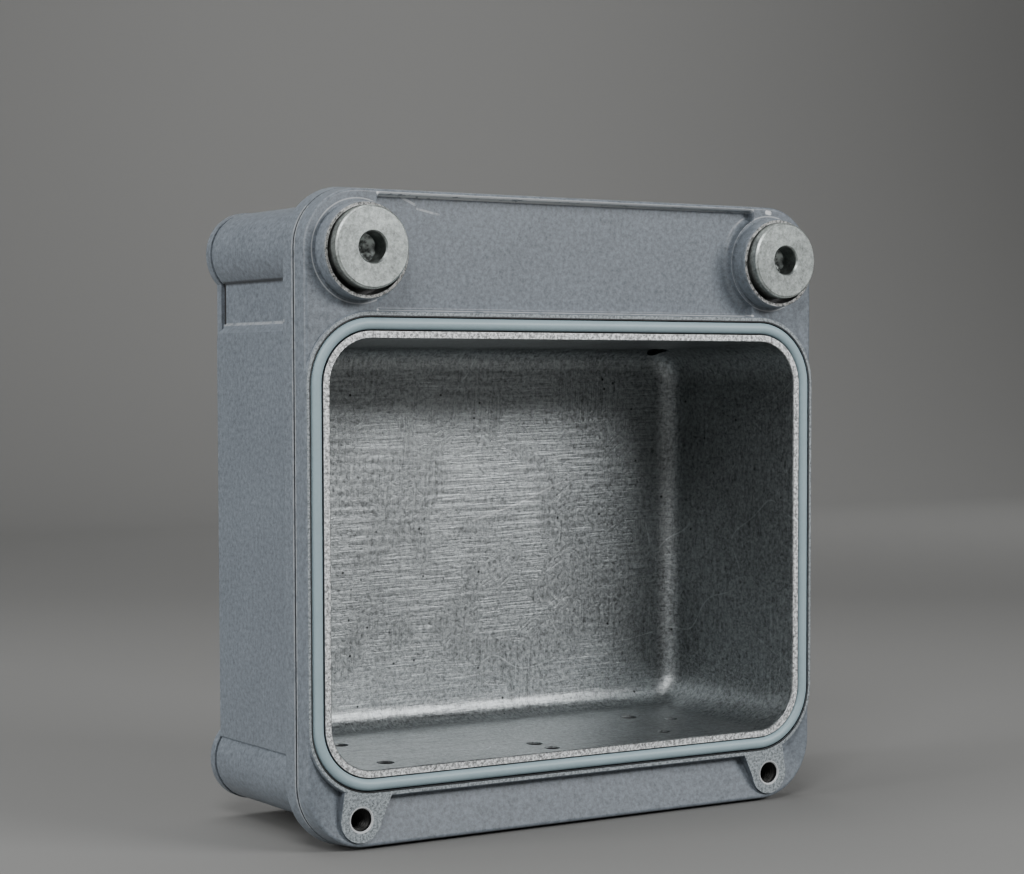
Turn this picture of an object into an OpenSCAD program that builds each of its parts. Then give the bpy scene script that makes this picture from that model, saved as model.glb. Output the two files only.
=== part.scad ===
// Die cast aluminium box with a sealed front rim, two turned posts and a screwed-on back plate.
//
// X runs to the right, Y from the front to the back and Z up. Inside the modules the middle of
// the front opening, in the plane of its rim, is at the origin. placed() then moves the whole
// box so that the middle of its underside is at the origin.

/* [Opening] */
// Width of the front opening
opening_w = 150; // [130:1:180]
// Height of the front opening
opening_h = 110.8; // [100:0.2:140]
// Corner radius of the front opening
opening_r = 12; // [10:0.5:14]
// Depth from the rim to the back wall of the cavity
cavity_depth = 56.5; // [48:0.5:57]
// How far the cavity walls lean in from the rim to the back
cavity_draft = 1.5; // [0.5:0.1:2]
// Radius between the walls and the back of the cavity
cavity_fillet = 6; // [3:0.5:7]

/* [Flange] */
// Width of the flange beside the opening
flange_side = 7.1; // [7:0.1:9]
// Height of the head of the flange, above the opening
head_h = 38.5; // [36:0.5:46]
// Height of the foot of the flange, below the opening
foot_h = 20.4; // [19:0.2:24]
// Radius of the upper corners of the flange
head_r = 15.7; // [15:0.1:18]
// Radius of the lower corners of the flange
foot_r = 17.2; // [15:0.1:19]
// Depth of the flange edge, behind the rim
flange_t = 11; // [9:0.5:13]
// Depth of the parting groove in the flange edge
seam_y = 6.1; // [4.5:0.1:7.5]
// Depth of the recessed panel between the posts
recess_y = 3.4; // [2:0.1:4]

/* [Housing] */
// Depth of the back of the casting
housing_y = 62.4; // [61.5:0.1:70]
// Thickness of the housing walls
wall = 3; // [2.5:0.1:3.4]
// Radius of the four corner columns
column_r = 11.45; // [11:0.05:12]
// Height of the raised side panels above the housing side
panel_rise = 2; // [0.5:0.1:2.4]

/* [Front seal] */
// Distance from the opening to the seal groove
groove_in = 2; // [1.5:0.05:2.4]
// Width of the seal groove
groove_w = 3.6; // [3:0.1:3.8]
// Depth of the seal groove
groove_d = 2.6; // [2:0.1:3.5]
// Gap beside the seal in its groove
seal_gap = 0.3; // [0.1:0.05:0.5]
// Height of the seal above the rim
seal_rise = 0.7; // [0:0.05:0.8]

/* [Posts] */
// Radius of the head of a post
post_r = 10.55; // [9:0.05:10.7]
// Height of the post heads above the rim
post_rise = 7.2; // [5:0.1:10]
// Radius of the threaded hole in a post
post_hole_r = 3.84; // [2.5:0.01:4.5]
// Depth of the hole in a post
post_hole_d = 6; // [5:0.5:12]
// Radius of the boss round a post
boss_r = 12.45; // [12.4:0.05:12.9]
// Height of the bosses above the rim
boss_rise = 4; // [2:0.1:5]

/* [Lugs] */
// Radius of the round end of a lug
lug_r = 5.95; // [5:0.05:6.5]
// Distance of the lug holes below the opening
lug_drop = 12.6; // [12:0.1:14]
// Radius of the lug holes, at the outside of their threads
lug_hole_r = 3; // [2:0.05:3.2]
// Depth of the lug holes
lug_hole_d = 15; // [10:0.5:16]

/* [Back plate] */
// Thickness of the seal under the back plate
back_seal_t = 0.6; // [0.4:0.1:1.5]
// Thickness of the back plate
plate_t = 3; // [2.5:0.1:5]
// Radius of the thread of a back screw
screw_r = 2.1; // [1.6:0.05:2.4]
// Length of a back screw under its head
screw_l = 14; // [10:0.5:18]

/* [Hidden] */
$fn = 96;

// Finish of each kind of piece
PAINT = "#72777d";
SEAL_GREY = "#93a3a8";
TURNED = "#aaa9a4";
BLACK = "#1b1c1e";
STEEL = "#9a9c9e";

// Flange: its size, the middle of its height and the lean of its edge
flange_w = opening_w + 2 * flange_side;
flange_h = opening_h + head_h + foot_h;
flange_z = (head_h - foot_h) / 2;
flange_radii = [head_r, head_r, foot_r, foot_r];
edge_draft = 5.5;
edge_round = 0.8;
rear_round = 0.5;
face_y = 0.7;
ring_in = 12;
mouth = 0.4;

// Rear of the flange: a long hollow curve that runs into the housing side just before its end
blend_y = 30;
blend_end = 7.7;
blend_run = blend_end + (flange_t - seam_y) * tan(edge_draft);
blend_r = (blend_run ^ 2 + (blend_y - flange_t) ^ 2) / (2 * blend_run);

// Rim that carries the seal
rim_w = flange_w - 0.4;
rim_h = opening_h + 14.2;
rim_r = opening_r + 6.9;
rim_foot_y = 4;

// Face of the foot, which is dished towards the rim
dish_in = 13.5;
dish_y = 3.4;

// Housing
housing_x = flange_w / 2 - 7.6;
housing_top = opening_h / 2 + head_h - 5.6;
housing_bottom = -opening_h / 2 - wall - 0.6;
column_x = opening_w / 2 - 8.7;
column_top = opening_h / 2 + head_h - 14.9;
column_bottom = -opening_h / 2 - 4.3;
panel_top = opening_h / 2 + 4.6;
panel_bottom = -opening_h / 2 + 2.4;
panel_bevel = 2.5;
slot_d = 1.4;
core_x = column_x - column_r - wall + 0.2;

// Recessed panel of the head
recess_x = column_x - 5.7;
recess_foot = rim_h / 2 + 0.1;
recess_head = opening_h / 2 + head_h - 1.6;
recess_r = 1;
recess_fillet = 0.6;

// Posts and their bosses
post_x = column_x;
post_z = opening_h / 2 + head_h - 15.7;
boss_z = post_z - 0.65;
counterbore_r = post_r + 0.8;
counterbore_y = 2;
shank_r = 6;
shank_l = 11;
ledge_r = boss_r + 0.85;
ledge_fillet = 1.5;

// Lugs
lug_x = column_x + 0.3;
lug_z = -opening_h / 2 - lug_drop;

// Back plate and its screws
plate_y = housing_y + back_seal_t;
back_y = plate_y + plate_t;
plate_lip = 0.3;
plate_bevel = 0.4;
screw_clear = 0.4;
head_cone = 2.1;
head_seat = 0.2;

// How far the box moves to stand on the origin
mid_y = (back_y - post_rise) / 2;
foot_z = opening_h / 2 + foot_h + (flange_t - rear_round - seam_y) * tan(edge_draft);

// Places of the four columns
column_places = [for (sx = [-1, 1]) for (z = [column_bottom, column_top]) [sx * column_x, z]];

// Drilled holes in the cavity floor as [x, y, radius], and the one in its back wall
floor_holes = [
    [-53.4, 36, 2.3],
    [-55, 8, 2.35],
    [-5.5, 12.7, 2.3],
    [-4.8, 5, 2.2],
    [42.8, 36.4, 2.5],
    [52, 27.8, 1.9],
    [37.4, 11.3, 2]
];
back_hole = [64.2, 54.9];
back_hole_r = 2.9;

// ---------------------------------------------------------------- Ways of making the forms

// Moves the box from the rim's frame to its standing frame
module placed() {
    translate([0, -mid_y, foot_z])
        children();
}

// Slab of an outline seen from the front, from depth y0 to depth y1
module slab(y0, y1) {
    translate([0, y1, 0])
        rotate([90, 0, 0])
            linear_extrude(y1 - y0)
                children();
}

// Solid turned about an axis along Y; its section is (radius, depth)
module turned(x, z) {
    translate([x, 0, z])
        rotate([90, 0, 0])
            rotate_extrude()
                mirror([0, 1])
                    children();
}

// Rounded rectangle; its radii go round from the upper right corner
module rounded(w, h, radii) {
    signs = [[1, 1], [-1, 1], [-1, -1], [1, -1]];
    polygon([
        for (k = [0:3])
            for (side = k % 2 == 0 ? [0, 1] : [1, 0])
                [
                    signs[k][0] * (w / 2 - side * radii[k]),
                    signs[k][1] * (h / 2 - (1 - side) * radii[k])
                ]
    ]);
    for (k = [0:3])
        translate([signs[k][0] * (w / 2 - radii[k]), signs[k][1] * (h / 2 - radii[k])])
            circle(radii[k]);
}

// Quarter of a disc, for the rounded bottom edge of a hollow
module quarter_disc(r) {
    intersection() {
        circle(r);
        square(r);
    }
}

// Runs a section round a rounded rectangle. The section's x is the distance outward from the
// rectangle and its y the depth, so straight sides are extruded and corners are turned.
module run_round(w, h, radii) {
    for (k = [0:3]) {
        reach = k % 2 == 0 ? w / 2 : h / 2;
        half = k % 2 == 0 ? h / 2 : w / 2;
        before = radii[(k + 3) % 4];
        after = radii[k];
        rotate([0, -90 * k, 0]) {
            translate([reach, 0, before - half])
                linear_extrude(2 * half - before - after)
                    children();
            translate([reach - after, 0, half - after])
                rotate([90, 0, 0])
                    rotate_extrude(angle = 90)
                        translate([after, 0])
                            mirror([0, 1])
                                children();
        }
    }
}

// Both hands of a shape that is drawn on the right
module both_sides() {
    children();
    mirror([1, 0, 0])
        children();
}

// Distance of the leaning flange edge from the seam line, at depth y
function edge_at(y) = (y - seam_y) * tan(edge_draft);

// ---------------------------------------------------------------- Flange and rim

// Section of the flange edge: rounded front, leaning side, parting groove and hollow rear blend
module flange_section() {
    front = face_y + edge_round;
    difference() {
        union() {
            polygon([
                [-ring_in, face_y],
                [edge_at(front) - edge_round, face_y],
                [edge_at(front), front],
                [edge_at(flange_t - rear_round), flange_t - rear_round],
                [edge_at(flange_t) - 0.1, flange_t],
                [-blend_end, blend_y],
                [-ring_in, blend_y]
            ]);
            translate([edge_at(front) - edge_round, front])
                circle(edge_round);
        }
        translate([blend_r - blend_end, blend_y])
            circle(blend_r);
        seam_section();
    }
}

// Parting groove: a narrow slot with a softened mouth
module seam_section() {
    half = 0.25;
    polygon([
        [-0.6, seam_y - half],
        [-0.15, seam_y - half],
        [0.4, seam_y - half - 0.5],
        [0.4, seam_y + half + 0.5],
        [-0.15, seam_y + half],
        [-0.6, seam_y + half]
    ]);
}

module flange() {
    translate([0, 0, flange_z]) {
        run_round(flange_w, flange_h, flange_radii)
            flange_section();
        slab(face_y, blend_y)
            square([flange_w - 2 * ring_in + 2, flange_h - 2 * ring_in + 2], center = true);
    }
}

// Raised rim round the opening, with a softened outer edge
module rim() {
    radii = [for (k = [0:3]) rim_r];
    run_round(rim_w, rim_h, radii)
        polygon([[-4, 0], [-0.3, 0], [0, 0.3], [0.2, rim_foot_y], [-4, rim_foot_y]]);
    slab(0, rim_foot_y)
        rounded(rim_w - 6, rim_h - 6, [for (k = [0:3]) rim_r - 3]);
}

// Dished face of the foot: the face falls away from the flange edge to the foot of the rim
module foot_dish() {
    difference() {
        translate([0, 0, flange_z])
            run_round(flange_w, flange_h, flange_radii)
                polygon([[-1.4, -1], [-1.4, face_y], [-dish_in, dish_y], [-dish_in, -1]]);
        rim();
        lug_pads();
        slab(-2, rim_foot_y)
            translate([-flange_w, -rim_h / 2 + rim_r])
                square([2 * flange_w, flange_h]);
    }
}

// ---------------------------------------------------------------- Head: recess and bosses

// Recessed panel between the posts, with a softened mouth, stopping at the boss skirts
module head_recess() {
    height = recess_head - recess_foot;
    inner = recess_r - 0.1;
    wall_foot = -0.2 - recess_fillet;
    difference() {
        translate([0, 0, recess_foot + height / 2]) {
            run_round(2 * recess_x, height, [for (k = [0:3]) recess_r]) {
                polygon([
                    [-inner, -2],
                    [mouth + 0.2, -2],
                    [mouth, face_y],
                    [0, face_y + mouth],
                    [-0.2, recess_y - recess_fillet],
                    [wall_foot, recess_y],
                    [-inner, recess_y]
                ]);
                translate([wall_foot, recess_y - recess_fillet])
                    quarter_disc(recess_fillet);
            }
            slab(-2, recess_y)
                square([2 * recess_x - 2 * inner + 0.1, height - 2 * inner + 0.1], center = true);
        }
        both_sides()
            turned(post_x, boss_z)
                boss_skirt_section();
    }
}

// Skirt of a boss, with a hollow fillet down to the recessed panel
module boss_skirt_section() {
    difference() {
        translate([0, -3])
            square([ledge_r + ledge_fillet, recess_y + 4]);
        translate([ledge_r + ledge_fillet, recess_y - ledge_fillet])
            circle(ledge_fillet);
        translate([ledge_r, -4])
            square([ledge_fillet + 1, recess_y - ledge_fillet + 4]);
    }
}

// Boss round a post: its bare end stands proud, and a narrow ledge rings it at the face
module boss() {
    turned(post_x, boss_z)
        polygon([
            [0, -boss_rise],
            [boss_r - 0.3, -boss_rise],
            [boss_r - 0.05, -boss_rise + 0.3],
            [boss_r, face_y],
            [ledge_r - 0.3, face_y],
            [ledge_r, face_y + 0.3],
            [ledge_r, recess_y],
            [0, recess_y]
        ]);
}

// Seat of a post: a wide counterbore in the boss, and the bore that holds the shank
module post_seat() {
    turned(post_x, boss_z)
        polygon([
            [0, -boss_rise - 1],
            [counterbore_r, -boss_rise - 1],
            [counterbore_r, counterbore_y],
            [0, counterbore_y]
        ]);
    turned(post_x, post_z)
        polygon([
            [0, 0],
            [shank_r, 0],
            [shank_r, counterbore_y + shank_l],
            [0, counterbore_y + shank_l]
        ]);
}

// ---------------------------------------------------------------- Lugs

// Outline of the right lug: a round end that widens up to the rim
module lug_outline() {
    translate([lug_x, lug_z])
        circle(lug_r);
    polygon([
        [lug_x + lug_r, lug_z],
        [lug_x + lug_r - 1.1, -rim_h / 2 + 2],
        [lug_x - lug_r - 3.7, -rim_h / 2 + 2],
        [lug_x - lug_r + 0.55, lug_z - 1.9]
    ]);
}

module lug_pads() {
    both_sides()
        slab(0, rim_foot_y + 1)
            lug_outline();
}

// Threaded hole with a softened mouth and a drill point
module lug_hole() {
    turned(lug_x, lug_z)
        polygon([
            [0, -1],
            [lug_hole_r + 1.3, -1],
            [lug_hole_r, 0.3],
            [lug_hole_r, lug_hole_d],
            [0, lug_hole_d + 1.4]
        ]);
}

// ---------------------------------------------------------------- Housing

module housing() {
    slab(seam_y + 2, housing_y) {
        translate([-housing_x, housing_bottom])
            square([2 * housing_x, column_top - housing_bottom]);
        translate([-column_x, housing_bottom])
            square([2 * column_x, housing_top - housing_bottom]);
        for (place = column_places)
            translate(place)
                circle(column_r);
    }
    both_sides()
        side_panel();
}

// Raised panel on the right side, bevelled above and below, with a rounded upper rear corner
module side_panel() {
    corner = 5;
    difference() {
        slab(seam_y + 2, housing_y)
            polygon([
                [housing_x - 1, panel_bottom - 4.6],
                [housing_x, panel_bottom - 2.6],
                [housing_x + panel_rise, panel_bottom],
                [housing_x + panel_rise, panel_top - panel_bevel],
                [housing_x, panel_top],
                [housing_x - 1, panel_top]
            ]);
        translate([housing_x, housing_y - corner, panel_top - corner])
            rotate([0, 90, 0])
                linear_extrude(panel_rise + 1)
                    difference() {
                        translate([-corner - 1, 0])
                            square([corner + 1, corner + 1]);
                        circle(corner);
                    }
    }
}

// Cavity, with leaning walls, a rounded back edge and a softened mouth
module cavity() {
    inset = cavity_draft + cavity_fillet;
    run_round(opening_w, opening_h, [for (k = [0:3]) opening_r]) {
        polygon([
            [-opening_r + 2, -1],
            [1.25, -1],
            [0, 0.25],
            [-cavity_draft, cavity_depth - cavity_fillet],
            [-inset, cavity_depth],
            [-opening_r + 2, cavity_depth]
        ]);
        translate([-inset, cavity_depth - cavity_fillet])
            quarter_disc(cavity_fillet);
    }
    slab(-1, cavity_depth)
        square([opening_w - 2 * opening_r + 5, opening_h - 2 * opening_r + 5], center = true);
}

module seal_groove() {
    run_round(opening_w, opening_h, [for (k = [0:3]) opening_r])
        translate([groove_in, -1])
            square([groove_w, groove_d + 1]);
}

// Hollow head of the casting, open to the back
module head_core() {
    foot = opening_h / 2 + wall + 0.6;
    head = housing_top - wall - 0.3;
    slab(recess_y + wall, housing_y + 1)
        translate([0, (head + foot) / 2])
            rounded(2 * core_x, head - foot, [4, 4, 4, 4]);
}

// Hollow foot of the flange, open below the housing; the lower columns then cross its ends
module foot_core() {
    foot = -opening_h / 2 - foot_h + wall;
    half = column_x - column_r / 2;
    slab(dish_y + wall + 0.6, blend_y + 1)
        translate([-half, foot])
            square([2 * half, housing_bottom - foot]);
}

// Shallow space between the back wall of the cavity and the back plate
module back_space() {
    slab(cavity_depth + wall + 0.3, housing_y + 1)
        rounded(2 * housing_x - 7, opening_h + 1, [9, 9, 9, 9]);
}

// Short slots in the back edge, beside the head
module back_slot() {
    slab(housing_y - slot_d, housing_y + 1)
        translate([housing_x - wall + 0.6, panel_top])
            square([wall, column_top - 8 - panel_top]);
}

// Threaded hole for a back screw
module screw_hole(place) {
    depth = screw_l - plate_t + head_cone + 2;
    turned(place[0], place[1])
        polygon([
            [0, housing_y + 1],
            [screw_r, housing_y + 1],
            [screw_r, housing_y - depth],
            [0, housing_y - depth - 1.2]
        ]);
}

module drilled_holes() {
    for (hole = floor_holes)
        translate([hole[0], hole[1], -opening_h / 2 - 7])
            cylinder(h = 12, r = hole[2]);
    slab(cavity_depth - 8, cavity_depth + wall + 2)
        translate(back_hole)
            circle(back_hole_r);
}

// ---------------------------------------------------------------- Pieces

module body() {
    color(PAINT)
        placed()
            difference() {
                union() {
                    difference() {
                        flange();
                        head_recess();
                        foot_dish();
                        foot_core();
                    }
                    rim();
                    lug_pads();
                    both_sides()
                        boss();
                    housing();
                }
                cavity();
                seal_groove();
                head_core();
                back_space();
                both_sides() {
                    post_seat();
                    lug_hole();
                    back_slot();
                }
                for (place = column_places)
                    screw_hole(place);
                drilled_holes();
            }
}

// Seal with a rounded crown, lying on the floor of the groove
module front_seal() {
    half = groove_w / 2 - seal_gap;
    crown = half * 1.06;
    color(SEAL_GREY)
        placed()
            run_round(opening_w, opening_h, [for (k = [0:3]) opening_r])
                translate([groove_in + groove_w / 2, 0])
                    intersection() {
                        translate([-half, -seal_rise - 1])
                            square([2 * half, groove_d + seal_rise + 1]);
                        union() {
                            translate([0, crown - seal_rise])
                                circle(crown);
                            translate([-half, crown - seal_rise])
                                square([2 * half, groove_d]);
                        }
                    }
}

// Post on the right: a chamfered head, a hole with a drill point and a shank in the boss
module post() {
    rim_cut = 0.5;
    turned(post_x, post_z)
        polygon([
            [post_hole_r + 0.45, -post_rise],
            [post_r - rim_cut, -post_rise],
            [post_r, -post_rise + rim_cut],
            [post_r, counterbore_y],
            [shank_r, counterbore_y],
            [shank_r, counterbore_y + shank_l - 0.5],
            [0, counterbore_y + shank_l - 0.5],
            [0, post_hole_d - post_rise + 1.6],
            [post_hole_r, post_hole_d - post_rise],
            [post_hole_r, -post_rise + 0.45]
        ]);
}

module post_left() {
    color(TURNED)
        placed()
            mirror([1, 0, 0])
                post();
}

module post_right() {
    color(TURNED)
        placed()
            post();
}

// Bar with its rear edges bevelled, from x = -w / 2 to w / 2 and over z0 to z1
module bevelled_bar(w, z0, z1) {
    translate([0, 0, z0])
        linear_extrude(z1 - z0)
            polygon([
                [-w / 2, plate_y],
                [w / 2, plate_y],
                [w / 2, back_y - plate_bevel],
                [w / 2 - plate_bevel, back_y],
                [-w / 2 + plate_bevel, back_y],
                [-w / 2, back_y - plate_bevel]
            ]);
}

module back_plate() {
    lobe_r = column_r + plate_lip;
    span = column_top - column_bottom;
    middle = (column_top + column_bottom) / 2;
    color(PAINT)
        placed()
            difference() {
                union() {
                    bevelled_bar(2 * housing_x + 2 * plate_lip, column_bottom, column_top);
                    translate([0, 0, middle])
                        rotate([0, 90, 0])
                            bevelled_bar(span + 2 * lobe_r, -column_x, column_x);
                    for (place = column_places)
                        turned(place[0], place[1])
                            polygon([
                                [0, plate_y],
                                [lobe_r, plate_y],
                                [lobe_r, back_y - plate_bevel],
                                [lobe_r - plate_bevel, back_y],
                                [0, back_y]
                            ]);
                }
                for (place = column_places)
                    turned(place[0], place[1])
                        polygon([
                            [0, plate_y - 1],
                            [screw_r + screw_clear, plate_y - 1],
                            [screw_r + screw_clear, back_y - head_seat - head_cone],
                            [screw_r + screw_clear + head_cone, back_y - head_seat],
                            [screw_r + screw_clear + head_cone, back_y + 1],
                            [0, back_y + 1]
                        ]);
            }
}

// Flat seal between the casting and the back plate
module back_seal() {
    inset = 0.7;
    opening_top = housing_top - wall - 0.3;
    color(BLACK)
        placed()
            slab(housing_y, plate_y)
                difference() {
                    union() {
                        translate([-housing_x + inset, column_bottom])
                            square([2 * (housing_x - inset), column_top - column_bottom]);
                        translate([-column_x, housing_bottom])
                            square([2 * column_x, housing_top - inset - housing_bottom]);
                        for (place = column_places)
                            translate(place)
                                circle(column_r - inset);
                    }
                    rounded(2 * housing_x - 7, opening_h + 1, [9, 9, 9, 9]);
                    translate([0, (opening_top + opening_h / 2 + wall + 0.6) / 2])
                        rounded(2 * core_x, opening_top - opening_h / 2 - wall - 0.6, [4, 4, 4, 4]);
                    for (place = column_places)
                        translate(place)
                            circle(screw_r + screw_clear);
                }
}

// Countersunk screw with a hexagon socket
module back_screw(place) {
    head_y = back_y - head_seat;
    color(STEEL)
        placed()
            difference() {
                turned(place[0], place[1])
                    polygon([
                        [0, head_y - head_cone - screw_l + plate_t],
                        [screw_r - 0.5, head_y - head_cone - screw_l + plate_t],
                        [screw_r, head_y - head_cone - screw_l + plate_t + 0.5],
                        [screw_r, head_y - head_cone - screw_clear],
                        [screw_r + screw_clear + head_cone, head_y],
                        [0, head_y]
                    ]);
                slab(head_y - 1.6, head_y + 1)
                    translate(place)
                        circle(1.75, $fn = 6);
            }
}

module back_screw_top_left() {
    back_screw([-column_x, column_top]);
}

module back_screw_top_right() {
    back_screw([column_x, column_top]);
}

module back_screw_bottom_left() {
    back_screw([-column_x, column_bottom]);
}

module back_screw_bottom_right() {
    back_screw([column_x, column_bottom]);
}

body();
front_seal();
post_left();
post_right();
back_plate();
back_seal();
back_screw_top_left();
back_screw_top_right();
back_screw_bottom_left();
back_screw_bottom_right();
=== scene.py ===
"""Dresses the die cast aluminium box: its finishes, threads and studio stage.

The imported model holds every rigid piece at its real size. This script gives each one a procedural
finish, adds the screw threads that are too fine for the solids, and sets up floor, lamps and
camera. Lengths are in metres, except where a comment says millimetres. The front of the box faces
-Y and its underside lies on z = 0.
"""

import math

import bpy
import numpy as np
from bpy.props import FloatProperty, FloatVectorProperty, PointerProperty
from mathutils import Matrix, Vector


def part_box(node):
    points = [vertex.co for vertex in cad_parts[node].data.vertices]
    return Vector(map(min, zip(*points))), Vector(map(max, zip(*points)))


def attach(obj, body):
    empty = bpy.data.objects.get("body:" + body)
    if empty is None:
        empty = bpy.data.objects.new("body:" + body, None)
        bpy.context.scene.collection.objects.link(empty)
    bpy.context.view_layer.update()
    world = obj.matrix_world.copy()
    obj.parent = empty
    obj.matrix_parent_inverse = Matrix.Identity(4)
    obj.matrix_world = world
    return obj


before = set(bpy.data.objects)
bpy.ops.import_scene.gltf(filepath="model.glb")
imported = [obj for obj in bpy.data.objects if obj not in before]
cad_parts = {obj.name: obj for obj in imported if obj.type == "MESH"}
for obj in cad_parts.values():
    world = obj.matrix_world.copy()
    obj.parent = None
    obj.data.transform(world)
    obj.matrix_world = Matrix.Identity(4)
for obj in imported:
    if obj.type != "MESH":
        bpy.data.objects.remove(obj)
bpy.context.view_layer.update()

bl_info = {
    "name": "Die cast aluminium box",
    "version": (1, 0, 0),
    "blender": (4, 5, 0),
    "location": "3D View > Sidebar > Box",
    "description": "Finishes, threads and studio stage for a die cast aluminium box",
    "category": "Object",
}

MM = 0.001
BODY = "root"

SEAL_LOW, SEAL_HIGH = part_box("front_seal")
POST_LOW, POST_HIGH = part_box("post_right")
CASTING_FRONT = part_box("body")[0].y

# How far the bosses stand in front of the rim, and how far the seal reaches beyond the opening.
BOSS_RISE = 4 * MM
SEAL_REACH = 5.3 * MM
# How far the lug holes lie below the opening, and the offsets of holes and bosses from the posts.
LUG_DROP = 12.6 * MM
LUG_OFFSET = 0.3 * MM
BOSS_DROP = 0.65 * MM

RIM_Y = CASTING_FRONT + BOSS_RISE
OPENING_CENTRE = Vector((0, RIM_Y, (SEAL_LOW.z + SEAL_HIGH.z) / 2))
HALF_WIDTH = (SEAL_HIGH.x - SEAL_LOW.x) / 2 - SEAL_REACH
HALF_HEIGHT = (SEAL_HIGH.z - SEAL_LOW.z) / 2 - SEAL_REACH
POST_AXIS = Vector(((POST_LOW.x + POST_HIGH.x) / 2, POST_LOW.y, (POST_LOW.z + POST_HIGH.z) / 2))
BOSS_AXIS = POST_AXIS - Vector((0, 0, BOSS_DROP))
LUG_AXIS = Vector((POST_AXIS.x + LUG_OFFSET, RIM_Y, OPENING_CENTRE.z - HALF_HEIGHT - LUG_DROP))


# ---------------------------------------------------------------- Values a user would change


def colour(name, description, default):
    """A linear RGB colour property."""
    return FloatVectorProperty(
        name=name, description=description, default=default, subtype="COLOR", min=0, max=1
    )


def length(name, description, default, low=0.0, high=10.0):
    """A length property in metres."""
    return FloatProperty(
        name=name, description=description, default=default, min=low, max=high, unit="LENGTH"
    )


class BoxFinishes(bpy.types.PropertyGroup):
    """Colours of the box's materials"""

    paint: colour("Paint", "Satin blue-grey paint outside the casting", (0.160, 0.184, 0.211))
    bare: colour("Bare aluminium", "Scraped metal inside the cavity", (0.345, 0.366, 0.372))
    land: colour("Inner land", "Sawn metal between opening and seal", (0.66, 0.68, 0.685))
    rim: colour("Rim", "Blasted metal on the outer rim and the lugs", (0.268, 0.300, 0.318))
    boss: colour("Boss ends", "Rough sawn metal round the posts", (0.29, 0.295, 0.287))
    # Colour of the real scratches and chips, and of the painted highlights on edges, walls and
    # lips.
    wear_and_highlight: colour("Worn edges", "Metal that shows through the paint", (0.70, 0.72, 0.73))
    # Colour of the dark seam, and of the painted shade in gaps, holes, the seal's groove, slots and
    # creases.
    seam_and_shade: colour("Grime", "Dirt in seams, gaps and holes", (0.016, 0.016, 0.017))
    seal: colour("Front seal", "Pale rubber of the front seal", (0.330, 0.440, 0.480))
    post: colour("Posts", "Turned metal of the posts", (0.295, 0.320, 0.310))
    screw: colour("Screws", "Plated steel of the back screws", (0.42, 0.42, 0.43))
    # Near black: painted shade for the deep lug holes.
    thread: colour("Lug threads", "Oily metal in the lug holes", (0.030, 0.030, 0.029))
    # Near black, also standing in for the shade in the joint under the back plate.
    black: colour("Back seal", "Black rubber under the back plate", (0.014, 0.014, 0.015))


class BoxThreads(bpy.types.PropertyGroup):
    """Sizes of the screw threads"""

    pitch: length("Pitch", "Distance from one turn of the lug thread to the next", 1.0 * MM)
    wall: length("Wall radius", "Radius of a lug hole at the outside of its thread", 3.0 * MM)
    ridge: length("Ridge", "Height of the thread above the wall of the hole", 0.48 * MM)
    start: length("Start", "Depth below the rim at which the thread begins", 0.9 * MM)
    reach: length("Length", "Length of the threaded stretch of a lug hole", 12.0 * MM)


class BoxStage(bpy.types.PropertyGroup):
    """Camera, lamps and floor"""

    camera_place: FloatVectorProperty(
        name="Camera place",
        description="Where the camera stands",
        default=(-0.3590, -0.5612, 0.1211),
        unit="LENGTH",
    )
    camera_aim: FloatVectorProperty(
        name="Camera aim",
        description="Point at which the camera is aimed before its shift",
        default=(0.0, -0.0130, 0.0864),
        unit="LENGTH",
    )
    camera_roll: FloatProperty(
        name="Camera roll", description="Turn of the camera", default=-0.0015, unit="ROTATION"
    )
    lens: FloatProperty(name="Lens", description="Focal length in millimetres", default=83.61)
    sensor: FloatProperty(name="Sensor", description="Sensor width in millimetres", default=36)
    shift_x: FloatProperty(name="Shift X", description="Sideways lens shift", default=-0.0307)
    shift_y: FloatProperty(name="Shift Y", description="Upward lens shift", default=0.0668)
    floor: colour("Floor", "Colour of the floor and backdrop", (0.205, 0.205, 0.20))
    sky: FloatProperty(
        name="Sky", description="Strength of the even light all round", default=0.09, min=0
    )


# ---------------------------------------------------------------- Node graphs


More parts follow.
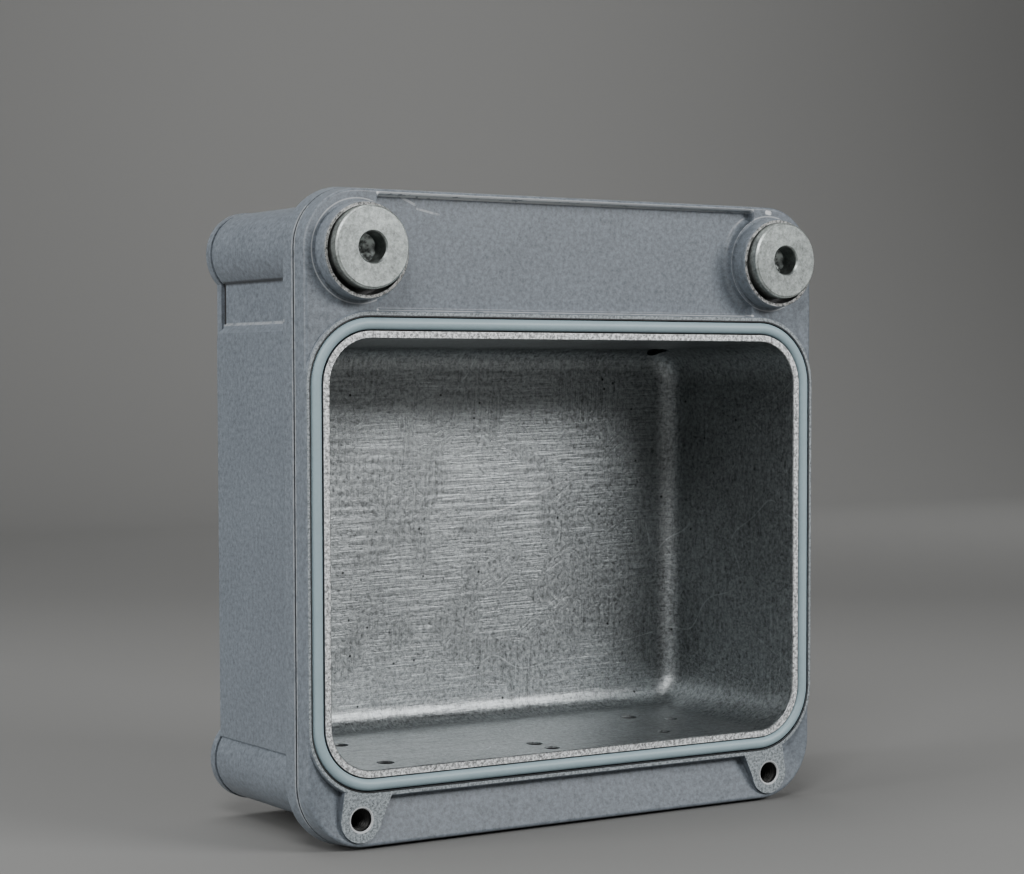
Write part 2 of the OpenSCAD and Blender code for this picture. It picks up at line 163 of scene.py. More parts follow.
class Graph:
    """A material under construction. Values, sockets and colours may all be given as inputs."""

    def __init__(self, name):
        self.material = bpy.data.materials.new(name)
        self.material.use_nodes = True
        self.tree = self.material.node_tree
        self.tree.nodes.clear()
        self.shader = self.add("BsdfPrincipled")
        output = self.add("OutputMaterial")
        self.tree.links.new(self.shader.outputs[0], output.inputs["Surface"])
        self.coordinates = self.add("TexCoord")

    def add(self, kind, **settings):
        node = self.tree.nodes.new("ShaderNode" + kind)
        for key, value in settings.items():
            setattr(node, key, value)
        return node

    def feed(self, socket, value):
        """Links a socket to an input, or sets the input to a number, a vector or a colour."""
        if isinstance(value, bpy.types.NodeSocket):
            self.tree.links.new(value, socket)
        elif value is not None:
            if socket.type == "RGBA" and len(value) == 3:
                value = (*value, 1)
            socket.default_value = value

    def feed_all(self, node, keys, values):
        for key, value in zip(keys, values):
            self.feed(node.inputs[key], value)

    def math(self, operation, a, b=None, c=None, clamp=False):
        node = self.add("Math", operation=operation, use_clamp=clamp)
        self.feed_all(node, range(3), (a, b, c))
        return node.outputs[0]

    def vector(self, operation, a, b=None, c=None, value=False):
        node = self.add("VectorMath", operation=operation)
        self.feed_all(node, range(3), (a, b, c))
        return node.outputs["Value" if value else "Vector"]

    def split(self, vector):
        node = self.add("SeparateXYZ")
        self.feed(node.inputs[0], vector)
        return node.outputs[:]

    def join(self, x, y, z):
        node = self.add("CombineXYZ")
        self.feed_all(node, range(3), (x, y, z))
        return node.outputs[0]

    def step(self, value, low, high, start=0.0, end=1.0):
        """Smooth step from start to end, while a value goes from low to high."""
        node = self.add("MapRange", interpolation_type="SMOOTHSTEP")
        keys = ("Value", "From Min", "From Max", "To Min", "To Max")
        self.feed_all(node, keys, (value, low, high, start, end))
        return node.outputs[0]

    def fall(self, value, low, high):
        """Mask that is 1 up to low and 0 from high on."""
        return self.step(value, low, high, 1.0, 0.0)

    def noise(self, vector, scale, detail=2.0, roughness=0.5, distortion=0.0):
        node = self.add("TexNoise")
        keys = ("Vector", "Scale", "Detail", "Roughness", "Distortion")
        self.feed_all(node, keys, (vector, scale, detail, roughness, distortion))
        return node.outputs[0]

    def cells(self, vector, scale):
        """Distance from the nearest of many scattered points."""
        node = self.add("TexVoronoi")
        self.feed_all(node, ("Vector", "Scale"), (vector, scale))
        return node.outputs["Distance"]

    def mix(self, share, a, b):
        """Mix of two numbers."""
        node = self.add("Mix", data_type="FLOAT")
        self.feed_all(node, (0, 2, 3), (share, a, b))
        return node.outputs[0]

    def mix_colour(self, share, a, b):
        node = self.add("Mix", data_type="RGBA")
        self.feed_all(node, (0, 6, 7), (share, a, b))
        return node.outputs[2]

    def both(self, *masks):
        """Product of masks."""
        result = masks[0]
        for mask in masks[1:]:
            result = self.math("MULTIPLY", result, mask)
        return result

    def either(self, *masks):
        """Greatest of masks."""
        result = masks[0]
        for mask in masks[1:]:
            result = self.math("MAXIMUM", result, mask)
        return result

    def vary(self, value, texture, amount):
        """A value made higher and lower by a texture that lies round one half."""
        if isinstance(value, float):
            return self.math("MULTIPLY_ADD", texture, amount, value - amount / 2)
        return self.math("MULTIPLY_ADD", self.math("SUBTRACT", texture, 0.5), amount, value)

    def gap(self, value, middle):
        """How far a value is from a middle, either way."""
        return self.math("ABSOLUTE", self.math("SUBTRACT", value, middle))

    def gain(self, value, mask, share):
        """A value made larger by a share of itself where a mask is 1."""
        return self.math("MULTIPLY", value, self.math("MULTIPLY_ADD", mask, share, 1.0))

    def tint(self, rgb, strength):
        """A colour made lighter or darker by a number round 1."""
        return self.vector("MULTIPLY", tuple(rgb), self.join(strength, strength, strength))

    def bump(self, height, distance):
        """Bump whose height of 1 stands for the given distance in metres."""
        node = self.add("Bump")
        self.feed_all(node, ("Height", "Distance", "Strength"), (height, distance, 1.0))
        return node.outputs[0]

    def finish(self, **given):
        """Feeds the shader's inputs, named with underscores for spaces."""
        for key, value in given.items():
            self.feed(self.shader.inputs[key.replace("_", " ")], value)
        return self.material

    def millimetres(self, centre):
        """The surface's own place in millimetres, counted from a centre."""
        offset = tuple(-c / MM for c in centre)
        place = self.coordinates.outputs["Object"]
        return self.vector("MULTIPLY_ADD", place, (1 / MM,) * 3, offset)

    def stretched(self, place, factors):
        return self.vector("MULTIPLY", place, factors)

    def elsewhere(self, place, offset):
        """A place far off, where the same texture looks different."""
        return self.vector("ADD", place, offset)


def dress(node, material):
    """Puts a finish on every slot of a CAD node."""
    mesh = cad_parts[node].data
    if not mesh.materials:
        mesh.materials.append(material)
    for index in range(len(mesh.materials)):
        mesh.materials[index] = material


# ---------------------------------------------------------------- Finishes


def paint_layer(graph, place, colour):
    """Satin paint with faint clouds, fine grain and small dark flecks. Returns colour, roughness
    and height."""
    clouds = graph.noise(place, 0.05, 3.0, 0.6)
    grain = graph.noise(place, 0.85, 4.0, 0.8)
    flecks = graph.step(graph.noise(place, 0.55, 1.0, 0.5), 0.70, 0.76)
    strength = graph.vary(graph.vary(1.0, clouds, 0.22), grain, 2.0)
    strength = graph.math("MULTIPLY_ADD", flecks, -0.12, strength)
    return graph.tint(colour, strength), graph.vary(0.41, grain, 0.22), grain


def hatch(graph, place, angle, seed, fine=1.8, long=0.08):
    """Fine scraped lines that run at an angle in the X-Z plane, whatever the depth. The noise
    changes fine times a millimetre across the lines and long times along them."""
    x, y, z = graph.split(place)

    def turned(towards_x, towards_z):
        share = graph.math("MULTIPLY", x, towards_x)
        return graph.math("MULTIPLY_ADD", z, towards_z, share)

    along = turned(math.cos(angle) * long, math.sin(angle) * long)
    across = turned(-math.sin(angle) * fine, math.cos(angle) * fine)
    spot = graph.join(along, graph.math("MULTIPLY_ADD", y, 0.5 * fine, seed), across)
    return graph.noise(spot, 1.0, 3.0, 0.6, 0.3)


# Distance in millimetres from one cutter ridge to the next.
RIDGE_SPACING = 2.9


def tooled_layer(graph, place, colour):
    """Scraped metal: patches of fine lines in several directions, broad cutter ridges, blotches,
    curved scratches and small black pits. Returns colour, roughness and height."""
    patch = graph.noise(place, 0.045, 2.0, 0.5, 0.4)
    other = graph.noise(graph.elsewhere(place, (90, 40, 70)), 0.06, 2.0, 0.5, 0.4)
    level = hatch(graph, place, 0.03, 3.0)
    upright = hatch(graph, place, 1.50, 11.0)
    slanted = hatch(graph, place, 0.62, 23.0, 1.1)
    marks = graph.mix(graph.step(patch, 0.47, 0.57), level, upright)
    marks = graph.mix(graph.step(other, 0.58, 0.66), marks, slanted)

    up = graph.split(place)[2]
    wave = graph.noise(graph.stretched(place, (0.03, 0.03, 0.05)), 1.0, 1.0)
    wavy = graph.math("MULTIPLY_ADD", wave, 3.0, up)
    ridge = graph.math("SINE", graph.math("MULTIPLY", wavy, math.tau / RIDGE_SPACING))
    ridge = graph.math("MULTIPLY", ridge, graph.step(other, 0.40, 0.60, 0.5, 0.0))

    blotch = graph.noise(place, 0.03, 4.0, 0.6, 0.6)
    specks = graph.noise(place, 0.9, 4.0, 0.8, 0.5)
    line = graph.noise(graph.elsewhere(place, (31, 17, 53)), 0.022, 1.0, 0.4)
    line = graph.fall(graph.gap(line, 0.5), 0.0, 0.0022)
    scratch = graph.both(line, graph.step(patch, 0.50, 0.56))
    pits = graph.fall(graph.cells(place, 0.16), 0.045, 0.075)

    strength = graph.vary(0.97, blotch, 0.50)
    strength = graph.vary(strength, marks, 1.05)
    strength = graph.vary(strength, specks, 3.0)
    strength = graph.math("MULTIPLY_ADD", ridge, 0.05, strength)
    strength = graph.math("MULTIPLY_ADD", scratch, 0.6, strength)
    strength = graph.math("MAXIMUM", graph.gain(strength, pits, -0.85), 0.04)
    height = graph.math("MULTIPLY_ADD", ridge, 0.3, marks)
    height = graph.math("MULTIPLY_ADD", specks, 0.9, height)
    return graph.tint(colour, strength), graph.vary(0.40, specks, 0.40), height


def speckled_layer(graph, place, colour, low, high, size):
    """Bare sawn or blasted metal: dark and bright grains of a size in millimetres, whose strengths
    lie between low and high, with darker pits. Returns colour and grain."""
    grain = graph.noise(place, 1.0 / size, 3.0, 0.8)
    pits = graph.cells(place, 0.5 / size)
    strength = graph.step(grain, 0.38, 0.62, low, high)
    strength = graph.math("MULTIPLY", strength, graph.step(pits, 0.08, 0.22, 0.2 + 0.6 * low, 1.0))
    return graph.tint(colour, strength), grain


def rounded_distance(graph, place, half, radius):
    """Distance outside a rounded rectangle in the X-Z plane: the length of the part of
    |place| - half + radius that is positive, less the radius."""
    inner = (half[0] - radius, 0, half[1] - radius)
    beyond = graph.vector("SUBTRACT", graph.vector("ABSOLUTE", place), inner)
    flat = graph.vector("MULTIPLY", graph.vector("MAXIMUM", beyond, (0, 0, 0)), (1, 0, 1))
    return graph.math("SUBTRACT", graph.vector("LENGTH", flat, value=True), radius)


def axis_distance(graph, place, axis):
    """Distance from the nearer of two axes along Y that mirror each other about X = 0."""
    spot = ((axis - OPENING_CENTRE) / MM)[:]
    folded = graph.vector("MULTIPLY", graph.vector("ABSOLUTE", place), (1, 0, 0))
    height = graph.vector("MULTIPLY", place, (0, 0, 1))
    flat = graph.vector("ADD", folded, height)
    return graph.vector("DISTANCE", flat, (spot[0], 0, spot[2]), value=True)


def streak(graph, place, start, end, width):
    """Mask of a straight scratch: 1 up to half a width from the segment, 0 from a width on."""
    run = Vector(end) - Vector(start)
    offset = graph.vector("SUBTRACT", place, start)
    share = graph.vector("DOT_PRODUCT", offset, run[:], value=True)
    share = graph.math("MULTIPLY", share, 1 / run.length_squared, clamp=True)
    nearest = graph.vector("MULTIPLY", run[:], graph.join(share, share, share))
    return graph.fall(graph.vector("DISTANCE", offset, nearest, value=True), width / 2, width)


# The tables below are in millimetres. Y counts from the rim into the box, X and Z from the middle
# of the opening, and "beyond" is the distance outside the opening's rounded outline.
OPENING_CORNER = 12.0
SEAM_Y = 6.1
BOSS_END_Y = -BOSS_RISE / MM
LAND_MIDDLE = 1.0
DRAFT = math.radians(1.5)

# A region gives the least and the greatest value of some of the distances of a CastingGraph. None
# stands for no bound. A pair is a bound and the width over which it fades, which is else FADE.
FADE = 0.08
SIDE_Y = ((10.5, 0.5), 62.0)
CAVITY = {"beyond": (None, 0.35), "y": (None, 57.4)}
RIM_LEVEL = {"from_rim": (None, 0.28)}
LAND = {"beyond": (None, 3.0)}
# The land's two edges, made lighter as a painted highlight.
LAND_EDGE_HIGHLIGHT = {"from_land": ((0.78, 0.1), None)}
BOSS_END = {"from_boss_end": (None, 0.2)}

# The dark seam round the flange, and painted shade in the gaps round the posts, the lug holes, the
# drilled holes in the cavity's floor, the seal's groove and the slots in the sides.
SEAM_AND_SHADE = (
    {"from_seam": (None, (0.24, 0.15)), "beyond": (5.8, None)},
    {"from_boss": (None, 11.38), "y": ((-3.5, 0.4), 2.2)},
    {"from_lug": (None, 3.1), "y": (0.35, 17.0)},
    {
        "from_floor": (None, (-0.5, 0.2)),
        "z": (-58.8, None),
        "y": (2.8, 56.0),
        "sideways": (None, 72.0),
    },
    {"beyond": (1.85, 5.7), "y": ((0.3, 0.15), 3.0)},
    {"z": (60.2, 70.8), "y": (60.6, 63.1), "sideways": (71.5, None)},
)
# The two edges of the seal's groove in the rim, painted dark as shade.
GROOVE_EDGES = ({"beyond": (5.58, 5.90)}, {"beyond": ((1.89, 0.05), (2.01, 0.05))})
# Creases between the columns and the side walls, darkened as painted shade: X, Z and reach.
CREASES = ((74.6, 71.1, 0.95), (75.05, -52.3, 1.3))

# Painted highlights: the upper and lower walls of the recess in the flange, the line over the upper
# one, the steps round the posts, the mouths of the lug holes and the lips of the gaps; chipped
# paint with painted highlight along the flange's top.
HEAD_WALL = {"z": (90.8, 92.7), "y": (0.75, 3.35), "sideways": (None, 60.9)}
FOOT_WALL = {"z": (62.3, 62.95), "y": (0.35, 3.0), "sideways": (None, 61.0)}
CROWN = {"z": (92.25, 92.7), "y": (0.5, 0.95), "sideways": (None, 60.9)}
CREST = {"z": (93.5, None), "y": (1.0, 5.8), "sideways": (None, 66.0)}
BOSS_LEDGE = {"from_boss": (13.25, 13.5), "y": (-0.1, 0.7)}
LUG_MOUTH = {"from_lug": (None, 3.45), "y": (-0.3, 0.5)}
LIPS = (
    {"from_seam": (0.42, 0.75), "beyond": (5.8, None), "sideways": (78.0, None)},
    {"z": (59.55, 60.25), "y": SIDE_Y, "sideways": (73.0, None)},
)
# Scratches and chips: start, end, width and strength.
SCRATCHES = (
    ((-52.0, 3.4, 91.7), (-48.1, 3.4, 90.0), 0.42, 0.35),
    ((-47.5, 3.4, 89.0), (-40.9, 3.4, 87.7), 0.36, 0.35),
    ((1.7, 56.5, 3.9), (18.0, 56.5, 8.6), 0.32, 0.55),
    ((18.0, 56.5, 8.6), (33.1, 56.5, 14.7), 0.28, 0.45),
    ((65.6, 0.7, 92.1), (66.7, 0.7, 91.9), 0.75, 1.0),
    ((-3.0, 1.0, -55.9), (-1.6, 1.0, -55.9), 0.5, 0.9),
)
# The painted highlight in the recess fades from left to right, between these two values of X.
RECESS_LEFT, RECESS_RIGHT = -60.0, 60.0


class CastingGraph(Graph):
    """The casting's material, with the distances in millimetres that bound its finishes."""

    def __init__(self):
        super().__init__("casting")
        half = (HALF_WIDTH / MM, HALF_HEIGHT / MM)
        self.place = self.millimetres(OPENING_CENTRE)
        self.x, self.y, self.z = self.split(self.place)
        self.sideways = self.math("ABSOLUTE", self.x)
        self.beyond = rounded_distance(self, self.place, half, OPENING_CORNER)
        self.from_rim = self.math("ABSOLUTE", self.y)
        self.from_seam = self.gap(self.y, SEAM_Y)
        self.from_boss_end = self.gap(self.y, BOSS_END_Y)
        self.from_land = self.gap(self.beyond, LAND_MIDDLE)
        self.from_boss = axis_distance(self, self.place, BOSS_AXIS)
        self.from_lug = axis_distance(self, self.place, LUG_AXIS)
        above_floor = self.math("ADD", self.z, half[1])
        self.from_floor = self.math("MULTIPLY_ADD", self.y, -math.tan(DRAFT), above_floor)
        normal = self.split(self.coordinates.outputs["Normal"])
        self.frontal = self.fall(normal[1], -0.92, -0.7)
        self.downward = self.fall(normal[2], -0.5, -0.2)

    def region(self, bounds):
        """Mask of the places where each named distance lies between its bounds."""
        masks = []
        for name, (low, high) in bounds.items():
            value = getattr(self, name)
            if low is not None:
                limit, fade = low if isinstance(low, tuple) else (low, FADE)
                masks.append(self.step(value, limit - fade, limit))
            if high is not None:
                limit, fade = high if isinstance(high, tuple) else (high, FADE)
                masks.append(self.fall(value, limit, limit + fade))
        return self.both(*masks)

    def regions(self, table):
        """Mask of the places in any of several regions."""
        return self.either(*map(self.region, table))


def casting_seam_and_shade(graph, level):
    """Mask of the seam and the painted shade on the casting, given the mask of the faces in the
    rim's plane.
    """
    masks = [graph.regions(SEAM_AND_SHADE), graph.both(graph.regions(GROOVE_EDGES), level)]
    side = graph.region({"y": SIDE_Y})
    for across, up, reach in CREASES:
        corner = axis_distance(graph, graph.place, OPENING_CENTRE + Vector((across, 0, up)) * MM)
        masks.append(graph.both(graph.step(corner, 0.2, reach, 0.8, 0.0), side))
    return graph.either(*masks)


def casting_wear_and_highlights(graph):
    """Mask of the painted highlights on edges, walls and lips, and of real scratches and chips."""
    patches = graph.noise(graph.place, 0.35, 3.0, 0.7)

    def across_recess(right_share):
        return graph.step(graph.x, RECESS_LEFT, RECESS_RIGHT, 1.0, right_share)

    # Painted highlight on the recess's upper wall, which faces down into shade; it fades to the
    # right.
    head = graph.both(graph.region(HEAD_WALL), graph.downward, across_recess(0.35))
    foot = graph.math("MULTIPLY", graph.region(FOOT_WALL), 0.7)
    dashes = graph.noise(graph.stretched(graph.place, (0.22, 0, 0)), 1.0, 2.0, 0.6)
    masks = [
        graph.both(graph.either(head, foot), graph.step(patches, 0.30, 0.46)),
        # Chipped paint with painted highlight, in dashes along the flange's top.
        graph.both(graph.region(CREST), graph.step(dashes, 0.47, 0.52)),
        graph.math("MULTIPLY", graph.region(BOSS_LEDGE), 0.45),
        graph.math("MULTIPLY", graph.region(LUG_MOUTH), 0.8),
        graph.both(graph.region(CROWN), across_recess(0.45)),
        graph.both(graph.regions(LIPS), graph.step(patches, 0.35, 0.55, 0.08, 0.28)),
    ]
    broken = graph.step(patches, 0.36, 0.5, 0.3, 1.0)
    for start, end, width, share in SCRATCHES:
        mark = graph.math("MULTIPLY", streak(graph, graph.place, start, end, width), share)
        masks.append(graph.both(mark, broken))
    return graph.either(*masks)


def casting_finish(finishes):
    """Paint outside, scraped metal in the cavity, speckled metal on the sawn faces, painted
    highlights and wear on edges, and the dark seam and painted shade in the gaps, each bounded by
    its place on the casting and by the way its face looks."""
    graph = CastingGraph()
    place = graph.place
    cavity = graph.region(CAVITY)
    level = graph.both(graph.region(RIM_LEVEL), graph.frontal)
    land = graph.both(level, graph.region(LAND))
    boss_end = graph.both(graph.region(BOSS_END), graph.frontal)
    # Painted highlights on edges and lips, and real scratches and chips.
    wear_and_highlight = casting_wear_and_highlights(graph)
    # Dark seam, and painted shade in gaps, holes, the groove, slots and creases.
    seam_and_shade = casting_seam_and_shade(graph, level)

    paint, paint_rough, paint_height = paint_layer(graph, place, finishes.paint)
    bare, bare_rough, bare_height = tooled_layer(graph, place, finishes.bare)
    sawn, grain = speckled_layer(graph, place, finishes.land, 0.30, 1.45, 0.9)
    # Painted highlight: the land's edges made lighter.
    sawn = graph.vector("ADD", sawn, graph.tint((0.2, 0.2, 0.2), graph.region(LAND_EDGE_HIGHLIGHT)))
    rim, _ = speckled_layer(graph, place, finishes.rim, 0.5, 1.5, 0.7)
    ring, _ = speckled_layer(graph, place, finishes.boss, 0.2, 1.8, 1.0)

    base = paint
    for mask, layer in (
        (cavity, bare),
        (level, rim),
        (land, sawn),
        (boss_end, ring),
        (wear_and_highlight, finishes.wear_and_highlight),
        (seam_and_shade, finishes.seam_and_shade),
    ):
        base = graph.mix_colour(mask, base, layer)
    rough = graph.mix(cavity, paint_rough, bare_rough)
    rough = graph.mix(level, rough, graph.vary(0.505, grain, 0.25))
    metal = graph.math("MAXIMUM", cavity, graph.math("MULTIPLY", land, 0.3))
    metal = graph.gain(metal, seam_and_shade, -1.0)
    paint_height = graph.math("MULTIPLY", paint_height, 0.03)
    height = graph.mix(cavity, paint_height, graph.math("MULTIPLY", bare_height, 0.12))
    height = graph.mix(level, height, graph.math("MULTIPLY", grain, 0.06))
    normal = graph.bump(height, MM)
    return graph.finish(Base_Color=base, Roughness=rough, Metallic=metal, Normal=normal)


def painted_finish(finishes):
    """The casting's paint, for the back plate."""
    graph = Graph("painted_plate")
    base, rough, height = paint_layer(graph, graph.millimetres(OPENING_CENTRE), finishes.paint)
    return graph.finish(Base_Color=base, Roughness=rough, Normal=graph.bump(height, 0.03 * MM))


def seal_finish(finishes):
    """Pale rubber with faint clouds and dust."""
    graph = Graph("seal_rubber")
    place = graph.millimetres(OPENING_CENTRE)
    clouds = graph.noise(place, 0.08, 3.0, 0.6)
    dust = graph.noise(place, 1.2, 3.0, 0.65)
    return graph.finish(
        Base_Color=graph.tint(finishes.seal, graph.vary(graph.vary(1.0, clouds, 0.20), dust, 0.16)),
        Roughness=graph.vary(0.44, dust, 0.2),
        Normal=graph.bump(graph.noise(place, 0.6, 2.0), 0.05 * MM),
    )


def joint_shade_rubber(finishes):
    """Near-black rubber with a fine grain; its black also stands in for the shade in the joint
    under the back plate.
    """
    graph = Graph("joint_shade_rubber")
    grain = graph.noise(graph.millimetres(OPENING_CENTRE), 2.0, 3.0)
    return graph.finish(
        Base_Color=graph.tint(finishes.black, graph.vary(1.0, grain, 0.6)),
        Roughness=graph.vary(0.70, grain, 0.2),
        Normal=graph.bump(grain, 0.03 * MM),
    )


# Turned metal: millimetres from one ring to the next, how metallic it is and how deep its bump.
RING_SPACING = 0.22
TURNED_METALLIC = 0.9
TURNED_BUMP = 0.006 * MM


def turned_layer(graph, place):
    """Lathe-turned metal: fine rings about an axis along Y, mottled with stains. Returns strength,
    roughness, height and the distance from the axis in millimetres."""
    x, y, z = graph.split(place)
    radius = graph.vector("LENGTH", graph.join(x, 0.0, z), value=True)
    rings = graph.math("SINE", graph.math("MULTIPLY", radius, math.tau / RING_SPACING))
    bands = graph.noise(graph.join(radius, graph.math("MULTIPLY", y, 2.0), 0.0), 1.4, 3.0, 0.7)
    stains = graph.noise(place, 0.42, 4.0, 0.75, 0.4)
    grain = graph.noise(place, 1.3, 3.0, 0.8)
    strength = graph.vary(1.0, stains, 2.0)
    strength = graph.vary(graph.vary(strength, grain, 1.6), bands, 0.12)
    height = graph.math("MULTIPLY_ADD", bands, 0.6, graph.math("MULTIPLY", rings, 0.5))
    return strength, graph.vary(0.42, grain, 0.28), height, radius


def turned_metal(graph, colour, strength, rough, height):
    """Feeds the shader of a turned piece."""
    return graph.finish(
        Base_Color=graph.tint(colour, strength),
        Metallic=TURNED_METALLIC,
        Roughness=rough,
        Normal=graph.bump(height, TURNED_BUMP),
    )


def turned_finish(name, axis, colour):
    """Turned metal about an axis along Y."""
    graph = Graph(name)
    strength, rough, height, _ = turned_layer(graph, graph.millimetres(axis))
    return turned_metal(graph, colour, strength, rough, height)


# Where a post's looks change, in millimetres: radii and depths from its front end. Each pair is
# the start and the end of a soft step.
HOLE_RADIUS = (3.86, 3.94)
LIP_RADIUS = (4.1, 4.2)
CHAMFER_RADIUS = (10.1, 10.2)
SIDE_RADIUS = (10.3, 10.5)
FRONT_DEPTH = (0.1, 0.25)
CHAMFER_DEPTH = (0.45, 0.6)
SIDE_DEPTH = (0.5, 0.7)
BOTTOM_DEPTH = (5.6, 5.9)


def post_finish(name, axis, colour):
    """Turned metal with a painted highlight on its chamfer and lip, a side painted lighter as if
    lit, painted shade in the hole and painted glints on the hole's drilled bottom. The axis starts
    at the post's front end."""
    graph = Graph(name)
    place = graph.millimetres(axis)
    depth = graph.split(place)[1]
    strength, rough, height, radius = turned_layer(graph, place)
    chamfer = graph.both(graph.step(radius, *CHAMFER_RADIUS), graph.fall(depth, *CHAMFER_DEPTH))
    lip = graph.both(graph.fall(radius, *LIP_RADIUS), graph.fall(depth, *FRONT_DEPTH))
    side = graph.both(graph.step(radius, *SIDE_RADIUS), graph.step(depth, *SIDE_DEPTH))
    hole = graph.both(graph.fall(radius, *HOLE_RADIUS), graph.step(depth, *FRONT_DEPTH))
    glints = graph.step(graph.noise(place, 0.6, 2.0), 0.38, 0.60)
    bottom = graph.both(hole, graph.step(depth, *BOTTOM_DEPTH), glints)
    # Painted highlight on the chamfer and lip, painted light on the side, painted shade in the hole
    # and painted glints on its bottom.
    strength = graph.gain(strength, graph.either(chamfer, lip), 1.1)
    strength = graph.gain(strength, side, 0.3)
    strength = graph.gain(strength, hole, -0.5)
    strength = graph.math("MULTIPLY_ADD", bottom, 1.8, strength)
    return turned_metal(graph, colour, strength, rough, height)


# ---------------------------------------------------------------- Threads

# Steps in a turn of the helix, how deep the ridge's foot bites into the wall, the angle over which
# an end fades away and what is left of the ridge there, and the half widths of the ridge's foot and
# top as shares of the pitch.
TURN_STEPS = 40
BITE = 0.06 * MM
FADE_ANGLE = 0.6 * math.pi
FADED = 0.02
FOOT_SHARE = 0.46
TOP_SHARE = 0.09


def helix_ridge(axis, radius, ridge, pitch, reach):
    """Points and faces of a thread's ridge on the wall of a hole along Y.

    The path is a helix: angle t runs through the turns, depth is start + pitch * t / tau, and the
    ridge's section is a flat-topped triangle whose foot bites into the wall. Both ends taper to
    nothing, and the ring of section points is carried along the whole path as one grid."""
    turns = reach / pitch
    count = int(turns * TURN_STEPS) + 1
    t = np.linspace(0, math.tau * turns, count)
    fade = np.clip(np.minimum(t, t[-1] - t) / FADE_ANGLE, FADED, 1)
    out = np.array([BITE, -ridge, -ridge, BITE])
    along = np.array([-FOOT_SHARE, -TOP_SHARE, TOP_SHARE, FOOT_SHARE]) * pitch
    r = radius + np.where(out > 0, out, out * fade[:, None])
    depth = axis.y + pitch * t[:, None] / math.tau + along * fade[:, None]
    points = np.stack([axis.x + r * np.cos(t)[:, None], depth, axis.z + r * np.sin(t)[:, None]], -1)
    sides = points.shape[1]
    index = np.arange(count * sides).reshape(count, sides)
    near = index[:-1]
    far = index[1:]
    quads = np.stack([near, far, np.roll(far, -1, 1), np.roll(near, -1, 1)], -1).reshape(-1, 4)
    caps = [index[0].tolist(), index[-1][::-1].tolist()]
    return points.reshape(-1, 3), quads.tolist() + caps


def mesh_piece(name, points, faces, material):
    """One flat-shaded object at the origin, which rides on the body."""
    mesh = bpy.data.meshes.new(name)
    mesh.from_pydata(points.tolist(), [], faces)
    mesh.validate()
    mesh.materials.append(material)
    piece = bpy.data.objects.new(name, mesh)
    bpy.context.scene.collection.objects.link(piece)
    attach(piece, BODY)


# ---------------------------------------------------------------- Operators


class BOX_OT_casting(bpy.types.Operator):
    """Finishes the casting: paint outside, scraped metal inside, speckled metal on sawn faces"""

    bl_idname = "box.casting"
    bl_label = "Casting"

    def execute(self, context):
        dress("body", casting_finish(context.scene.box_finishes))
        return {"FINISHED"}


class BOX_OT_front_seal(bpy.types.Operator):
    """Finishes the pale rubber seal in the rim"""

    bl_idname = "box.front_seal"
    bl_label = "Front seal"

    def execute(self, context):
        dress("front_seal", seal_finish(context.scene.box_finishes))
        return {"FINISHED"}


class BOX_OT_posts(bpy.types.Operator):
    """Finishes the two turned posts"""

    bl_idname = "box.posts"
    bl_label = "Posts"

    def execute(self, context):
        for side, name in ((-1, "post_left"), (1, "post_right")):
            axis = Vector((side * POST_AXIS.x, POST_AXIS.y, POST_AXIS.z))
            dress(name, post_finish("turned_" + name, axis, context.scene.box_finishes.post))
        return {"FINISHED"}


class BOX_OT_back(bpy.types.Operator):
    """Finishes the back plate, the seal under it and its four screws"""

    bl_idname = "box.back"
    bl_label = "Back plate and screws"

    def execute(self, context):
        finishes = context.scene.box_finishes
        dress("back_plate", painted_finish(finishes))
        dress("back_seal", joint_shade_rubber(finishes))
        for name in sorted(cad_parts):
            if name.startswith("back_screw"):
                low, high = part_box(name)
                dress(name, turned_finish("turned_" + name, (low + high) / 2, finishes.screw))
        return {"FINISHED"}


class BOX_OT_lug_threads(bpy.types.Operator):
    """Adds the threads in the two lug holes"""

    bl_idname = "box.lug_threads"
    bl_label = "Lug threads"

    def execute(self, context):
        sizes = context.scene.box_threads
        # The threads' colour is near black, painted shade for the deep lug holes.
        metal = context.scene.box_finishes.thread
        for side, name in ((-1, "lug_thread_left"), (1, "lug_thread_right")):
            start = Vector((side * LUG_AXIS.x, LUG_AXIS.y + sizes.start, LUG_AXIS.z))
            points, faces = helix_ridge(start, sizes.wall, sizes.ridge, sizes.pitch, sizes.reach)
            material = turned_finish("cut_" + name, start, metal)
            mesh_piece(name, points, faces, material)
        return {"FINISHED"}


class BOX_OT_stage(bpy.types.Operator):
    """Sets up the floor, the backdrop, the lamps and the camera"""

    bl_idname = "box.stage"
    bl_label = "Stage"

    def execute(self, context):
        look = context.scene.box_stage
        backdrop(look)
        sky(look)
        for lamp in LAMPS:
            softbox(*lamp)
        camera(look)
        return {"FINISHED"}


# ---------------------------------------------------------------- Stage

# Lamps: name, place, the point each faces, width and height in metres, and power in watts.
LAMPS = (
    ("key", (0.57, -1.00, 0.60), (0, 0, 0.10), (0.60, 0.30), 10.8),
    ("overhead", (-0.10, 0.30, 1.20), (0, 0.10, 0.10), (1.1, 0.8), 6.5),
    ("left_fill", (-1.20, 0.10, 0.50), (0, 0, 0.09), (0.5, 0.8), 10.0),
    ("front_fill", (-0.76, -0.91, 1.02), (0, 0, 0.10), (0.5, 0.4), 10.0),
    ("backdrop_lamp", (0.95, 0.70, 1.00), (1.7, 1.8, 0.4), (0.8, 0.4), 9.5),
)

# The floor's extent, the radius of its bend and the top of the wall behind it.
FLOOR_SIDE = 4.0
FLOOR_FRONT = -2.5
BEND_START = 1.2
BEND_RADIUS = 0.6
BEND_STEPS = 24
WALL_TOP = 2.6


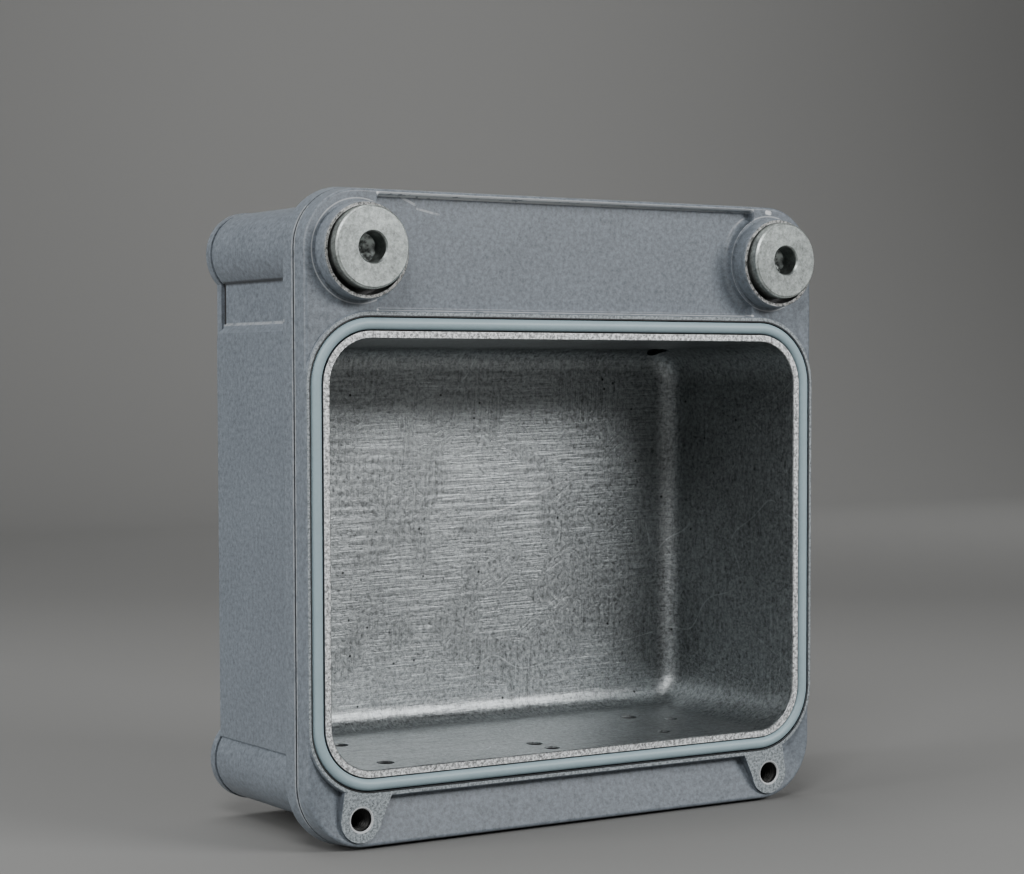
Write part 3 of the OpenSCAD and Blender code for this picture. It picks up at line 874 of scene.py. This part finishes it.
def backdrop(look):
    """Floor that bends up into a wall: its profile is flat, then a quarter circle, then upright,
    and it is carried straight along X."""
    bend = np.linspace(0, math.pi / 2, BEND_STEPS)
    wall_y = BEND_START + BEND_RADIUS
    ys = np.concatenate([[FLOOR_FRONT], BEND_START + BEND_RADIUS * np.sin(bend), [wall_y]])
    zs = np.concatenate([[0.0], BEND_RADIUS - BEND_RADIUS * np.cos(bend), [WALL_TOP]])
    xs = np.array([-FLOOR_SIDE, FLOOR_SIDE])
    grid = np.stack(np.broadcast_arrays(xs[:, None], ys[None], zs[None]), -1)
    rows = len(ys)
    faces = [(i, rows + i, rows + i + 1, i + 1) for i in range(rows - 1)]
    mesh = bpy.data.meshes.new("backdrop")
    mesh.from_pydata(grid.reshape(-1, 3).tolist(), [], faces, shade_flat=False)
    graph = Graph("backdrop")
    clouds = graph.noise(graph.coordinates.outputs["Object"], 3.0, 3.0)
    base = graph.tint(look.floor, graph.vary(1.0, clouds, 0.04))
    mesh.materials.append(graph.finish(Base_Color=base, Roughness=0.8))
    floor = bpy.data.objects.new("backdrop", mesh)
    bpy.context.scene.collection.objects.link(floor)


def sky(look):
    """Even grey light all round."""
    world = bpy.data.worlds.new("studio")
    world.use_nodes = True
    background = world.node_tree.nodes["Background"]
    background.inputs["Color"].default_value = (1, 1, 1, 1)
    background.inputs["Strength"].default_value = look.sky
    bpy.context.scene.world = world


def facing(place, aim):
    """Matrix of a lamp or camera that stands at a place and faces a point."""
    turn = (Vector(aim) - Vector(place)).to_track_quat("-Z", "Y").to_matrix().to_4x4()
    return Matrix.Translation(place) @ turn


def softbox(name, place, aim, size, power):
    """Rectangular lamp that faces a point."""
    lamp = bpy.data.lights.new(name, "AREA")
    lamp.shape = "RECTANGLE"
    lamp.size, lamp.size_y = size
    lamp.energy = power
    holder = bpy.data.objects.new(name, lamp)
    holder.matrix_world = facing(place, aim)
    bpy.context.scene.collection.objects.link(holder)


def camera(look):
    """Camera at its place, looking at its aim."""
    lens = bpy.data.cameras.new("camera")
    lens.sensor_width = look.sensor
    lens.lens = look.lens
    lens.shift_x = look.shift_x
    lens.shift_y = look.shift_y
    lens.clip_start = 0.01
    holder = bpy.data.objects.new("camera", lens)
    roll = Matrix.Rotation(look.camera_roll, 4, "Z")
    holder.matrix_world = facing(look.camera_place, look.camera_aim) @ roll
    bpy.context.scene.collection.objects.link(holder)
    bpy.context.scene.camera = holder


# ---------------------------------------------------------------- Panel and registration


class BOX_PT_panel(bpy.types.Panel):
    """Steps that dress the box"""

    bl_idname = "BOX_PT_panel"
    bl_label = "Die cast box"
    bl_space_type = "VIEW_3D"
    bl_region_type = "UI"
    bl_category = "Box"

    def draw(self, context):
        for operator in OPERATORS:
            self.layout.operator(operator.bl_idname)
        for name in GROUPS:
            group = getattr(context.scene, name)
            for key in group.__annotations__:
                self.layout.prop(group, key)


OPERATORS = (
    BOX_OT_casting,
    BOX_OT_front_seal,
    BOX_OT_posts,
    BOX_OT_back,
    BOX_OT_lug_threads,
    BOX_OT_stage,
)
GROUPS = {"box_finishes": BoxFinishes, "box_threads": BoxThreads, "box_stage": BoxStage}


def register():
    for group in (*GROUPS.values(), *OPERATORS, BOX_PT_panel):
        bpy.utils.register_class(group)
    for name, group in GROUPS.items():
        setattr(bpy.types.Scene, name, PointerProperty(type=group))


def unregister():
    for name in GROUPS:
        delattr(bpy.types.Scene, name)
    for group in (BOX_PT_panel, *reversed(OPERATORS), *GROUPS.values()):
        bpy.utils.unregister_class(group)


def main():
    register()
    for operator in OPERATORS:
        family, name = operator.bl_idname.split(".")
        getattr(getattr(bpy.ops, family), name)()


if __name__ == "__main__":
    main()
